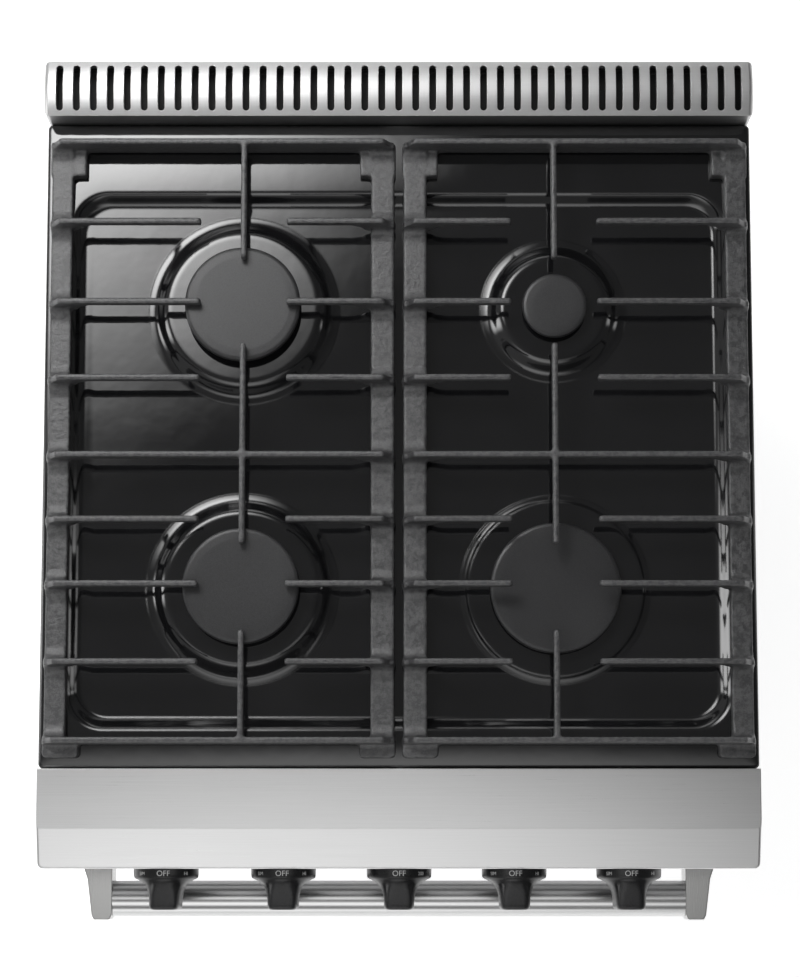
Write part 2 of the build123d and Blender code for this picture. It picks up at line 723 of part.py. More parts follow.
with BuildPart() as regulator:
    rod_y(16, INLET_X, (250, 300), INLET_Z)
    rod_z(24, INLET_X, 275, (INLET_Z - 8, INLET_Z + 22))
    rod_y(10.4, INLET_X, (300, BACK_Y - 1), INLET_Z)
    rod_y(INLET_BORE_RADIUS, INLET_X, (320, BACK_Y + 1), INLET_Z, Mode.SUBTRACT)
save(regulator, "gas_regulator")

with BuildPart() as cord_gland:
    rod_y(GLAND_RADIUS, GLAND_X, (350, BACK_PANEL_Y + 3), GLAND_Z)
    rod_y(14, GLAND_X, (BACK_PANEL_Y + SHEET + 0.1, BACK_PANEL_Y + 3.5), GLAND_Z)
    rod_y(GLAND_BORE_RADIUS, GLAND_X, (345, BACK_Y + 1), GLAND_Z, Mode.SUBTRACT)
save(cord_gland, "power_cord_gland")

# ---------------------------------------------------------------- oven

with BuildPart() as oven_liner:
    block(
        (-OVEN_X - SHEET, OVEN_X + SHEET),
        (LINER_FRONT_Y, OVEN_BACK_Y + SHEET),
        (OVEN_Z[0] - SHEET, OVEN_Z[1] + SHEET),
    )
    block((-OVEN_X, OVEN_X), (LINER_FRONT_Y - 1, OVEN_BACK_Y), OVEN_Z, Mode.SUBTRACT)
    rod_y(14, LAMP_X, (OVEN_BACK_Y - 4, OVEN_BACK_Y + 5), LAMP_Z, Mode.SUBTRACT)
save(oven_liner, "oven_liner")

with BuildPart() as insulation:
    wrap = OVEN_X + SHEET + GAP
    block(
        (-wrap - INSULATION, wrap + INSULATION),
        (-240, OVEN_BACK_Y + SHEET + GAP + INSULATION),
        (OVEN_Z[0] - SHEET - GAP - INSULATION, OVEN_Z[1] + SHEET + GAP + INSULATION),
    )
    block(
        (-wrap, wrap),
        (-245, OVEN_BACK_Y + SHEET + GAP),
        (OVEN_Z[0] - SHEET - GAP, OVEN_Z[1] + SHEET + GAP),
        Mode.SUBTRACT,
    )
    rod_y(22, LAMP_X, (OVEN_BACK_Y, 260), LAMP_Z, Mode.SUBTRACT)
save(insulation, "oven_insulation")

with BuildPart() as oven_frame:
    block((-DOOR_X, DOOR_X), (BODY_FRONT_Y, BODY_FRONT_Y + SHEET), (KICK_TOP_Z + 2, 791))
    block((-OVEN_X, OVEN_X), (BODY_FRONT_Y - 2, BODY_FRONT_Y + 4), OVEN_Z, Mode.SUBTRACT)
save(oven_frame, "oven_front_frame")

with BuildPart() as oven_floor:
    block((-243, 243), (-244, 213), (OVEN_FLOOR_Z, OVEN_FLOOR_Z + SHEET))
    block((-243, 243), (-244, -244 + SHEET), (OVEN_FLOOR_Z - 9, OVEN_FLOOR_Z + SHEET))
    for floor_slot in range(8):
        slot_x = -196 + 56 * floor_slot
        for slot_span in ((-225, -220), (190, 195)):
            block((slot_x - 20, slot_x + 20), slot_span, (OVEN_FLOOR_Z - 2, OVEN_FLOOR_Z + 3), Mode.SUBTRACT)
save(oven_floor, "oven_floor")

with BuildPart() as bake_burner:
    rod_y(FLAME_TUBE_RADIUS, 0, (-180, OVEN_BACK_Y - 2), BAKE_Z)
    for burner_port in range(14):
        port_y = -165 + 25 * burner_port
        rod_x(1.5, (-14, 14), port_y, BAKE_Z, Mode.SUBTRACT)
save(bake_burner, "bake_burner")

with BuildPart() as broil_burner:
    rod_y(FLAME_TUBE_RADIUS, 0, (-120, OVEN_BACK_Y - 2), BROIL_Z)
    # The radiant shield is a shallow channel over the tube.
    block((-70, 70), (-125, 170), (BROIL_Z + 5, BROIL_Z + 5 + SHEET))
    block((-70, -70 + SHEET), (-125, 170), (BROIL_Z - 4, BROIL_Z + 6))
    block((70 - SHEET, 70), (-125, 170), (BROIL_Z - 4, BROIL_Z + 6))
save(broil_burner, "broil_burner")

with BuildPart() as rack_guides:
    for guide_side in (-1, 1):
        for upright_y in (-200, 170):
            rod_z(3, guide_side * GUIDE_X, upright_y, (250, 560))
        for guide_z in GUIDE_ZS:
            rod_y(2.5, guide_side * GUIDE_X, (-225, 195), guide_z - 7)
            rod_y(2.5, guide_side * GUIDE_X, (-225, 195), guide_z + 7)
save(rack_guides, "rack_guides")

with BuildPart() as oven_racks:
    for rack_z in RACK_ZS:
        for rail_x in (-RACK_X, RACK_X):
            rod_y(3, rail_x, (RACK_FRONT_Y, RACK_BACK_Y), rack_z)
        for rail_y in (RACK_FRONT_Y, RACK_BACK_Y):
            rod_x(3, (-RACK_X, RACK_X), rail_y, rack_z)
        for wire in range(RACK_WIRES):
            wire_x = (wire - (RACK_WIRES - 1) / 2) * RACK_WIRE_PITCH
            rod_y(2, wire_x, (RACK_FRONT_Y, RACK_BACK_Y), rack_z + 1)
        rod_x(2.5, (-RACK_X, RACK_X), 0, rack_z - 3)
save(oven_racks, "oven_racks")

with BuildPart() as oven_lamp:
    rod_y(20, LAMP_X, (OVEN_BACK_Y - 10, OVEN_BACK_Y - 0.2), LAMP_Z)
    with Locations((LAMP_X, OVEN_BACK_Y - LAMP_RADIUS - 0.2, LAMP_Z)):
        Sphere(LAMP_RADIUS)
    rod_y(13, LAMP_X, (OVEN_BACK_Y - 0.2, 250), LAMP_Z)
save(oven_lamp, "oven_lamp")

# ---------------------------------------------------------------- door

with BuildPart() as door_skin:
    block((-DOOR_X, DOOR_X), (DOOR_FRONT_Y, DOOR_BACK_Y - 2.2), DOOR_Z)
    fillet(door_skin.edges().filter_by(Axis.Z).group_by(Axis.Y)[0], 2.5)
    block(
        (-DOOR_X + SHEET, DOOR_X - SHEET),
        (DOOR_FRONT_Y + SHEET + 0.5, DOOR_BACK_Y),
        (DOOR_Z[0] + SHEET, DOOR_Z[1] - SHEET),
        Mode.SUBTRACT,
    )
    with BuildSketch(Plane.XZ.offset(-DOOR_FRONT_Y - 4)) as window:
        with Locations((0, (WINDOW_Z[0] + WINDOW_Z[1]) / 2)):
            RectangleRounded(2 * WINDOW_X, WINDOW_Z[1] - WINDOW_Z[0], 14)
    extrude(window.sketch, amount=10, mode=Mode.SUBTRACT)
    for hinge_side in (-1, 1):
        block(
            (hinge_side * HINGE_X - 5, hinge_side * HINGE_X + 5),
            (HINGE_Y - 11, DOOR_BACK_Y + 2),
            (DOOR_Z[0] - 1, DOOR_Z[0] + 4),
            Mode.SUBTRACT,
        )
save(door_skin, "door_skin")

with BuildPart() as door_glass_outer:
    block(
        (-WINDOW_X - 15, WINDOW_X + 15),
        (DOOR_FRONT_Y + 2.2, DOOR_FRONT_Y + 6.2),
        (WINDOW_Z[0] - 15, WINDOW_Z[1] + 15),
    )
save(door_glass_outer, "door_glass_outer")

with BuildPart() as door_liner:
    block((-DOOR_X, DOOR_X), (DOOR_BACK_Y - SHEET, DOOR_BACK_Y), DOOR_Z)
    block((-172, 172), (DOOR_BACK_Y - 4, DOOR_BACK_Y + 2), (310, 540), Mode.SUBTRACT)
    for hinge_side in (-1, 1):
        block(
            (hinge_side * HINGE_X - 5, hinge_side * HINGE_X + 5),
            (DOOR_BACK_Y - 4, DOOR_BACK_Y + 2),
            (DOOR_Z[0] - 1, HINGE_Z + 11),
            Mode.SUBTRACT,
        )
save(door_liner, "door_liner")

with BuildPart() as door_glass_inner:
    block((-186, 186), (DOOR_BACK_Y - 6, DOOR_BACK_Y - 2), (296, 554))
save(door_glass_inner, "door_glass_inner")

with BuildPart() as door_gasket:
    block((-262, 262), (DOOR_BACK_Y, BODY_FRONT_Y - GAP), (160, 640))
    block((-250, 250), (DOOR_BACK_Y - 1, BODY_FRONT_Y + 1), (172, 628), Mode.SUBTRACT)
save(door_gasket, "door_gasket")

with BuildPart() as hinge_knuckles:
    for hinge_side in (-1, 1):
        for knuckle_x in (HINGE_X - 9, HINGE_X + 9):
            knuckle_span = sorted((hinge_side * (knuckle_x - 4.5), hinge_side * (knuckle_x + 4.5)))
            rod_x(6.2, knuckle_span, HINGE_Y, HINGE_Z)
            block(knuckle_span, (HINGE_Y - 6, DOOR_BACK_Y - SHEET), (HINGE_Z, HINGE_Z + 60))
            rod_x(HINGE_PIN_RADIUS + GAP, knuckle_span, HINGE_Y, HINGE_Z, Mode.SUBTRACT)
save(hinge_knuckles, "hinge_knuckles")

with BuildPart() as hinge_receivers:
    for hinge_side in (-1, 1):
        arm_span = (hinge_side * HINGE_X - 3, hinge_side * HINGE_X + 3)
        rod_x(6.5, arm_span, HINGE_Y, HINGE_Z)
        block(arm_span, (HINGE_Y, KICK_Y + 22), (HINGE_Z - 6.5, HINGE_Z + 6.5))
        block(
            (hinge_side * HINGE_X - 14, hinge_side * HINGE_X + 14),
            (KICK_Y + SHEET, KICK_Y + 5),
            (HINGE_Z - 28, HINGE_Z + 15),
        )
        rod_x(HINGE_PIN_RADIUS, (hinge_side * HINGE_X - 13.5, hinge_side * HINGE_X + 13.5), HINGE_Y, HINGE_Z)
save(hinge_receivers, "hinge_receivers")

with BuildPart() as handle_tube:
    rod_x(HANDLE_RADIUS, (-HANDLE_END_X, HANDLE_END_X), HANDLE_Y, HANDLE_Z)
    rod_x(HANDLE_RADIUS - 2, (-HANDLE_END_X - 1, HANDLE_END_X + 1), HANDLE_Y, HANDLE_Z, Mode.SUBTRACT)
save(handle_tube, "handle_tube")

with BuildPart() as handle_brackets:
    with BuildSketch(Plane.XY.offset(HANDLE_Z - HANDLE_RADIUS)) as footprint:
        with BuildLine():
            Polyline(
                (HANDLE_END_X + 0.1, FRONT_Y + 5),
                (HANDLE_END_X + 2, FRONT_Y),
                (HANDLE_END_X + 16, FRONT_Y),
                (HANDLE_END_X + 18, FRONT_Y + 4),
                (HANDLE_END_X + 22, DOOR_FRONT_Y - 30),
                (HANDLE_END_X + 28, DOOR_FRONT_Y - 12),
                (HANDLE_END_X + 33, DOOR_FRONT_Y - 0.1),
                (HANDLE_END_X + 0.1, DOOR_FRONT_Y - 0.1),
                close=True,
            )
        make_face()
    extrude(footprint.sketch, amount=2 * HANDLE_RADIUS)
    fillet(handle_brackets.edges().filter_by(Axis.Z).group_by(Axis.Y)[0], 1.5)
    mirror(about=Plane.YZ)
save(handle_brackets, "handle_brackets")

# ---------------------------------------------------------------- fasteners

with BuildPart() as screws:
    for screw_x, screw_z in SCREW_POINTS:
        rod_y(SCREW_RADIUS, screw_x, (BACK_PANEL_Y - 8, BACK_PANEL_Y + SHEET + 0.5), screw_z)
        rod_y(
            SCREW_HEAD_RADIUS, screw_x, (BACK_PANEL_Y + SHEET, BACK_PANEL_Y + SHEET + 2.2), screw_z
        )
save(screws, "back_panel_screws")
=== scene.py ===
"""Looks for the freestanding gas range: materials, fine detail, studio and camera."""

import json
import math

import bmesh
import bpy
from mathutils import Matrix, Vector


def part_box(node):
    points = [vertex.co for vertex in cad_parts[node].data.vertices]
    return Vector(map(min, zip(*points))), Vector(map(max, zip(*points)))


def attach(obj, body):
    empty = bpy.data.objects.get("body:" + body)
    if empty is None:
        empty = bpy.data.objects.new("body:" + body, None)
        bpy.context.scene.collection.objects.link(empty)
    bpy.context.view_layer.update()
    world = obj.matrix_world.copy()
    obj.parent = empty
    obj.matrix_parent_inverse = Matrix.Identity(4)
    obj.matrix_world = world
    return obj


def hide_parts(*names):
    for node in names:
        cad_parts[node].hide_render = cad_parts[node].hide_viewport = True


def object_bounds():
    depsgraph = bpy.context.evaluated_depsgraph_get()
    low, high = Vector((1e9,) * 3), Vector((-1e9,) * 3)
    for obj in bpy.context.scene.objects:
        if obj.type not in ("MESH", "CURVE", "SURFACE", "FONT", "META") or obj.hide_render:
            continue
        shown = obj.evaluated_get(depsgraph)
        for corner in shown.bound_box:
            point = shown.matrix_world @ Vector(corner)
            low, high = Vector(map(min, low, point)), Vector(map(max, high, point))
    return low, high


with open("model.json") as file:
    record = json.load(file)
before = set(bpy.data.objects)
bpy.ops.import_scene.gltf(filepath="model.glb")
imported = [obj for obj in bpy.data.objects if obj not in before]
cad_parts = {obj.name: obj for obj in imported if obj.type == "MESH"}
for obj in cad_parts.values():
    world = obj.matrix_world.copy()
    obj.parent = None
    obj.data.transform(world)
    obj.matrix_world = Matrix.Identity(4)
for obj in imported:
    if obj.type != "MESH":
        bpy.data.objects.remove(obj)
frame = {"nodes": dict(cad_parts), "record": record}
cad_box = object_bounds()
nodes = frame["nodes"]
record = frame["record"]
node_slot = {part["node"]: part["material_slot"] for part in record["subparts"]}
body_of_node = {
    node: body for body, members in record["behaviour"]["bodies"].items() for node in members
}


# ---------------------------------------------------------------- material helpers


class Graph:
    """A small wrapper that builds one node material."""

    def __init__(self, name):
        self.material = bpy.data.materials.new(name)
        self.material.use_nodes = True
        self.tree = self.material.node_tree
        self.tree.nodes.clear()
        self.output = self.add("ShaderNodeOutputMaterial")
        self.shader = self.add("ShaderNodeBsdfPrincipled")
        self.link(self.shader.outputs["BSDF"], self.output.inputs["Surface"])
        self.coordinates = self.add("ShaderNodeTexCoord").outputs["Object"]

    def add(self, kind, **settings):
        node = self.tree.nodes.new(kind)
        for key, value in settings.items():
            setattr(node, key, value)
        return node

    def link(self, source, target):
        self.tree.links.new(source, target)

    def stretched(self, scale):
        mapping = self.add("ShaderNodeMapping")
        mapping.inputs["Scale"].default_value = scale
        self.link(self.coordinates, mapping.inputs["Vector"])
        return mapping.outputs["Vector"]

    def noise(self, scale, detail=3.0, roughness=0.5, stretch=None):
        texture = self.add("ShaderNodeTexNoise")
        texture.inputs["Scale"].default_value = scale
        texture.inputs["Detail"].default_value = detail
        texture.inputs["Roughness"].default_value = roughness
        vector = self.stretched(stretch) if stretch else self.coordinates
        self.link(vector, texture.inputs["Vector"])
        return texture.outputs["Fac"]

    def voronoi(self, scale):
        texture = self.add("ShaderNodeTexVoronoi", feature="F1")
        texture.inputs["Scale"].default_value = scale
        self.link(self.coordinates, texture.inputs["Vector"])
        return texture.outputs["Distance"]

    def spread(self, value, low, high, from_low=0.3, from_high=0.7):
        node = self.add("ShaderNodeMapRange")
        node.inputs["From Min"].default_value = from_low
        node.inputs["From Max"].default_value = from_high
        node.inputs["To Min"].default_value = low
        node.inputs["To Max"].default_value = high
        self.link(value, node.inputs["Value"])
        return node.outputs["Result"]

    def ramp(self, value, stops):
        node = self.add("ShaderNodeValToRGB")
        elements = node.color_ramp.elements
        while len(elements) < len(stops):
            elements.new(0.5)
        for element, (position, colour) in zip(elements, stops):
            element.position = position
            element.color = (*colour, 1.0)
        self.link(value, node.inputs["Fac"])
        return node.outputs["Color"]

    def total(self, first, second, weight=1.0):
        node = self.add("ShaderNodeMath", operation="MULTIPLY_ADD")
        node.inputs[1].default_value = weight
        self.link(second, node.inputs[0])
        self.link(first, node.inputs[2])
        return node.outputs["Value"]

    def relief(self, height, strength, distance, edge=0.0):
        """Bump from a height, with softly rounded edges when edge is given in metres."""
        bump = self.add("ShaderNodeBump")
        bump.inputs["Strength"].default_value = strength
        bump.inputs["Distance"].default_value = distance
        self.link(height, bump.inputs["Height"])
        if edge:
            bevel = self.add("ShaderNodeBevel", samples=4)
            bevel.inputs["Radius"].default_value = edge
            self.link(bevel.outputs["Normal"], bump.inputs["Normal"])
        self.link(bump.outputs["Normal"], self.shader.inputs["Normal"])

    def feed(self, socket, value):
        self.link(value, self.shader.inputs[socket])

    def fixed(self, **values):
        for name, value in values.items():
            self.shader.inputs[name.replace("_", " ")].default_value = value


def brushed_metal(name, dark, light, rough, streak, edge, depth=0.00002):
    """Sheet metal with fine brushing along one axis and faint handling marks."""
    graph = Graph(name)
    lines = graph.noise(1.0, 4.0, 0.65, streak)
    clouds = graph.noise(4.0, 4.0, 0.55)
    mixed = graph.total(lines, clouds, 0.55)
    graph.feed("Base Color", graph.ramp(mixed, ((0.3, dark), (1.2, light))))
    graph.feed("Roughness", graph.spread(mixed, rough[0], rough[1], 0.5, 1.0))
    graph.fixed(Metallic=1.0)
    graph.relief(lines, 0.12, depth, edge)
    return graph.material


def cast_iron(name):
    """Matt black sand-cast iron: coarse grain, small pits and worn pale high spots."""
    graph = Graph(name)
    grain = graph.noise(900.0, 5.0, 0.7)
    lumps = graph.noise(230.0, 3.0, 0.6)
    broad = graph.noise(14.0, 2.0, 0.5)
    height = graph.total(lumps, grain, 0.7)
    graph.feed(
        "Base Color",
        graph.ramp(
            graph.total(height, broad, 0.1),
            ((0.35, (0.014, 0.014, 0.015)), (0.8, (0.036, 0.036, 0.038)), (1.0, (0.085, 0.085, 0.087))),
        ),
    )
    graph.feed("Roughness", graph.spread(height, 0.32, 0.54, 0.6, 1.1))
    graph.fixed(Specular_IOR_Level=0.85)
    graph.relief(height, 0.5, 0.0005, 0.0009)
    return graph.material


def gloss_enamel(name, dark, light, rough, edge):
    """Fired porcelain enamel: deep colour, slight orange peel and a trace of dust."""
    graph = Graph(name)
    peel = graph.noise(38.0, 2.5, 0.45)
    dust = graph.noise(6.0, 6.0, 0.65)
    specks = graph.voronoi(420.0)
    graph.feed("Base Color", graph.ramp(graph.total(dust, specks, 0.1), ((0.3, dark), (0.8, light))))
    graph.feed("Roughness", graph.spread(dust, rough[0], rough[1]))
    graph.fixed(Specular_IOR_Level=0.9)
    graph.relief(peel, 0.09, 0.0012, edge)
    return graph.material


def matt_enamel(name, dark, light, rough, grain_scale=1500.0, strength=0.2, edge=0.0008):
    """Matt enamel or moulded plastic with a fine even grain."""
    graph = Graph(name)
    grain = graph.noise(grain_scale, 2.0, 0.6)
    cloud = graph.noise(9.0, 3.0, 0.5)
    mixed = graph.total(grain, cloud, 0.4)
    graph.feed("Base Color", graph.ramp(mixed, ((0.45, dark), (0.95, light))))
    graph.feed("Roughness", graph.spread(mixed, rough[0], rough[1], 0.5, 0.95))
    graph.relief(grain, strength, 0.0001, edge)
    return graph.material


def speckled_enamel(name):
    """Dark blue oven enamel with pale specks."""
    graph = Graph(name)
    specks = graph.voronoi(260.0)
    cloud = graph.noise(12.0, 4.0, 0.6)
    graph.feed(
        "Base Color",
        graph.ramp(specks, ((0.06, (0.32, 0.34, 0.38)), (0.2, (0.012, 0.016, 0.03)))),
    )
    graph.feed("Roughness", graph.spread(cloud, 0.12, 0.3))
    graph.relief(cloud, 0.1, 0.0005)
    return graph.material


def wool(name):
    """Pale yellow glass-wool blanket."""
    graph = Graph(name)
    fibres = graph.noise(160.0, 8.0, 0.75, (1.0, 1.0, 4.0))
    graph.feed(
        "Base Color", graph.ramp(fibres, ((0.3, (0.42, 0.34, 0.14)), (0.7, (0.78, 0.7, 0.45))))
    )
    graph.feed("Roughness", graph.spread(fibres, 0.85, 1.0))
    graph.relief(fibres, 0.9, 0.004)
    return graph.material


def glass(name, tint):
    """Tinted flat glass with a faint wipe-mark variation in its gloss."""
    graph = Graph(name)
    smears = graph.noise(5.0, 5.0, 0.6, (1.0, 1.0, 0.4))
    graph.feed("Roughness", graph.spread(smears, 0.0, 0.04))
    graph.feed("Base Color", graph.ramp(smears, ((0.3, tint), (0.8, tuple(c * 1.3 for c in tint)))))
    graph.fixed(Transmission_Weight=1.0, IOR=1.5)
    return graph.material


X_BRUSH = (14.0, 2600.0, 2600.0)
Y_BRUSH = (2600.0, 14.0, 2600.0)
Z_BRUSH = (2600.0, 2600.0, 14.0)

materials = {
    "stainless": brushed_metal(
        "stainless", (0.6, 0.6, 0.6), (0.7, 0.7, 0.7), (0.26, 0.36), X_BRUSH, 0.0012
    ),
    # A darker copy of the stainless for the upright side panels: painted shade.
    "stainless_painted_shade_upright": brushed_metal(
        "stainless_painted_shade_upright", (0.4, 0.4, 0.405), (0.49, 0.49, 0.495), (0.28, 0.4), Z_BRUSH, 0.001
    ),
    # A darker copy of the stainless for the door, control panel and kick panel: painted shade.
    "steel_painted_shade_front": brushed_metal(
        "steel_painted_shade_front", (0.42, 0.42, 0.425), (0.51, 0.51, 0.515), (0.25, 0.36), X_BRUSH, 0.001
    ),
    "handle_steel": brushed_metal(
        "handle_steel", (0.55, 0.55, 0.55), (0.68, 0.68, 0.68), (0.2, 0.28), X_BRUSH, 0.0, 0.000006
    ),
    # A darker copy of the stainless for the handle brackets: painted shade.
    "steel_painted_shade_bracket": brushed_metal(
        "steel_painted_shade_bracket", (0.3, 0.3, 0.3), (0.52, 0.52, 0.51), (0.16, 0.3), Y_BRUSH, 0.0015
    ),
    "guard_steel": brushed_metal(
        "guard_steel", (0.56, 0.56, 0.56), (0.66, 0.66, 0.66), (0.4, 0.48), X_BRUSH, 0.0008
    ),
    "galvanised": brushed_metal(
        "galvanised", (0.34, 0.35, 0.36), (0.6, 0.61, 0.62), (0.35, 0.55), (40.0, 40.0, 40.0), 0.0
    ),
    "pipe": brushed_metal("pipe", (0.3, 0.3, 0.3), (0.5, 0.5, 0.49), (0.25, 0.45), X_BRUSH, 0.0005),
    "brass": brushed_metal(
        "brass", (0.55, 0.36, 0.12), (0.78, 0.57, 0.26), (0.18, 0.35), Y_BRUSH, 0.0004
    ),
    "chrome": brushed_metal(
        "chrome", (0.62, 0.63, 0.64), (0.82, 0.83, 0.84), (0.05, 0.16), (60.0, 60.0, 60.0), 0.0
    ),
    "cast_iron": cast_iron("cast_iron"),
    "enamel": gloss_enamel(
        "enamel", (0.004, 0.004, 0.0045), (0.011, 0.011, 0.012), (0.03, 0.09), 0.0022
    ),
    "cap_enamel": matt_enamel(
        "cap_enamel", (0.016, 0.016, 0.017), (0.046, 0.046, 0.048), (0.3, 0.42), 1700.0, 0.35, 0.0018
    ),
    "burner_black": matt_enamel(
        "burner_black", (0.008, 0.008, 0.008), (0.03, 0.03, 0.03), (0.45, 0.6)
    ),
    "knob_black": matt_enamel(
        "knob_black", (0.008, 0.008, 0.009), (0.017, 0.017, 0.018), (0.24, 0.34), 2200.0, 0.12, 0.0016
    ),
    "gasket": matt_enamel("gasket", (0.02, 0.02, 0.02), (0.06, 0.06, 0.06), (0.6, 0.85), 700.0, 0.6),
    "ceramic": matt_enamel("ceramic", (0.62, 0.6, 0.55), (0.8, 0.79, 0.75), (0.15, 0.3), 600.0, 0.1),
    "oven_enamel": speckled_enamel("oven_enamel"),
    "insulation": wool("insulation"),
    "door_glass": glass("door_glass", (0.1, 0.1, 0.1)),
    "lamp_glass": glass("lamp_glass", (0.85, 0.85, 0.82)),
    "print_white": matt_enamel(
        "print_white", (0.7, 0.7, 0.7), (0.82, 0.82, 0.82), (0.35, 0.5), 900.0, 0.1, 0.0
    ),
}

# The upright, front and bracket steels are darker copies of the stainless: painted shade on those
# parts.
FINISHES = {
    "side_panel_left": "stainless_painted_shade_upright",
    "side_panel_right": "stainless_painted_shade_upright",
    "levelling_legs": "pipe",
    "door_skin": "steel_painted_shade_front",
    "control_panel": "steel_painted_shade_front",
    "kick_panel": "steel_painted_shade_front",
    "handle_tube": "handle_steel",
    "handle_brackets": "steel_painted_shade_bracket",
    "backguard": "guard_steel",
}
for node, obj in nodes.items():
    slot_name = FINISHES.get(node, node_slot[node])
    obj.data.materials.clear()
    obj.data.materials.append(materials[slot_name])


# ---------------------------------------------------------------- piece helpers


def add_piece(name, mesh, material, body):
    """Link a finished mesh, give it its material, and let it ride on a body."""
    obj = bpy.data.objects.new(name, mesh)
    bpy.context.scene.collection.objects.link(obj)
    mesh.materials.append(materials[material])
    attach(obj, body)
    return obj


def text_mesh(name, body_text, height, depth):
    """Lettering as a thin mesh, centred on its own origin in the XY plane."""
    curve = bpy.data.curves.new(name + "_curve", "FONT")
    curve.body = body_text
    curve.size = height
    curve.extrude = depth
    curve.align_x = "CENTER"
    curve.align_y = "CENTER"
    holder = bpy.data.objects.new(name + "_holder", curve)
    bpy.context.scene.collection.objects.link(holder)
    bpy.context.view_layer.update()
    mesh = bpy.data.meshes.new_from_object(holder)
    mesh.name = name
    bpy.data.objects.remove(holder)
    bpy.data.curves.remove(curve)
    return mesh


def shade_smooth(mesh, angle=35.0):
    """Smooth shading with creases kept sharper than the angle."""
    mesh.shade_smooth()
    mesh.set_sharp_from_angle(angle=math.radians(angle))


def evaluated_copy(obj, name):
    """The mesh an object has once its modifiers are applied."""
    bpy.context.view_layer.update()
    depsgraph = bpy.context.evaluated_depsgraph_get()
    mesh = bpy.data.meshes.new_from_object(obj.evaluated_get(depsgraph))
    mesh.name = name
    return mesh


# ---------------------------------------------------------------- cast-iron grates


CAST_VOXEL = 0.0011
CAST_RELAX_PASSES = 9
SAND_GRAIN = 0.0030
SAND_DEPTH = 0.0004


def cast_copy(node, name):
    """A rounded casting made from a CAD solid: remeshed, relaxed, then given a sand-cast skin.

    The skin's relief only goes inward, so that the casting stays inside the CAD solid's bounds.
    """
    holder = bpy.data.objects.new(name + "_holder", nodes[node].data.copy())
    bpy.context.scene.collection.objects.link(holder)
    remesh = holder.modifiers.new("remesh", "REMESH")
    remesh.mode = "VOXEL"
    remesh.voxel_size = CAST_VOXEL
    relax = holder.modifiers.new("relax", "SMOOTH")
    relax.factor = 0.5
    relax.iterations = CAST_RELAX_PASSES
    sand = bpy.data.textures.new(name + "_sand", "CLOUDS")
    sand.noise_scale = SAND_GRAIN
    sand.noise_depth = 2
    cast = holder.modifiers.new("cast", "DISPLACE")
    cast.texture = sand
    cast.texture_coords = "LOCAL"
    cast.mid_level = 1.0
    cast.strength = SAND_DEPTH
    mesh = evaluated_copy(holder, name)
    bpy.data.objects.remove(holder)
    mesh.materials.clear()
    mesh.shade_smooth()
    return mesh


for side in ("left", "right"):
    node = f"grate_{side}"
    mesh = cast_copy(node, f"cast_grate_{side}")
    grate = add_piece(f"cast_grate_{side}", mesh, "cast_iron", body_of_node[node])
    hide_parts(node)


# ---------------------------------------------------------------- cooktop pressing

TOP_SHEET = 0.0015
CORNER_STEPS = 14
# The outer edge: a rolled rim above a straight skirt.
SKIRT_CORNER = 0.0040
RIM_ROLL = 0.0030
RIM_ROLL_STEPS = 6
# The well: its plan, its depth and the run of its sloping wall.
WELL_HALF_WIDTH = 0.2810
WELL_FRONT_MARGIN = 0.0326
WELL_BACK_MARGIN = 0.0604
WELL_CORNER = 0.0315
WELL_CORNER_SHARE = 0.6
WELL_DEPTH = 0.0090
WALL_RUN = 0.0135
WALL_OVERHANG = 0.0015
WALL_STEPS = 24
# The burner seats: name, foot radius, top radius, height.
SEATS = (
    ("left_rear", 0.0785, 0.0635, 0.0100),
    ("right_rear", 0.0590, 0.0432, 0.0100),
    ("left_front", 0.0785, 0.0635, 0.0100),
    ("right_front", 0.0775, 0.0740, 0.0030),
)
SEAT_SIDES = 128
SEAT_STEPS = 12
SEAT_SHOULDER = 0.0030
# A seat's foot spreads over the pan as a thin lip, whose underside sinks into the enamel.
LIP = ((0.0035, -0.0004), (0.0034, 0.0001), (0.0012, 0.0003))
LIP_HEIGHT = 0.0006
SUNK = -0.0004
THROAT = 0.0160


def rounded_ring(half_x, front_y, back_y, radius):
    """Points round a rectangle with round corners, the same count for every radius."""
    points = []
    corners = (
        (half_x, back_y, 1, 1, 0.0),
        (-half_x, back_y, -1, 1, 90.0),
        (-half_x, front_y, -1, -1, 180.0),
        (half_x, front_y, 1, -1, 270.0),
    )
    for corner_x, corner_y, side_x, side_y, start in corners:
        for step in range(CORNER_STEPS + 1):
            turn = math.radians(start + 90.0 * step / CORNER_STEPS)
            points.append(
                (
                    corner_x - side_x * radius + radius * math.cos(turn),
                    corner_y - side_y * radius + radius * math.sin(turn),
                )
            )
    return points


def eased(share):
    """Height share of the well's wall, rounded at its rim and at its foot."""
    return share * share * (3.0 - 2.0 * share)


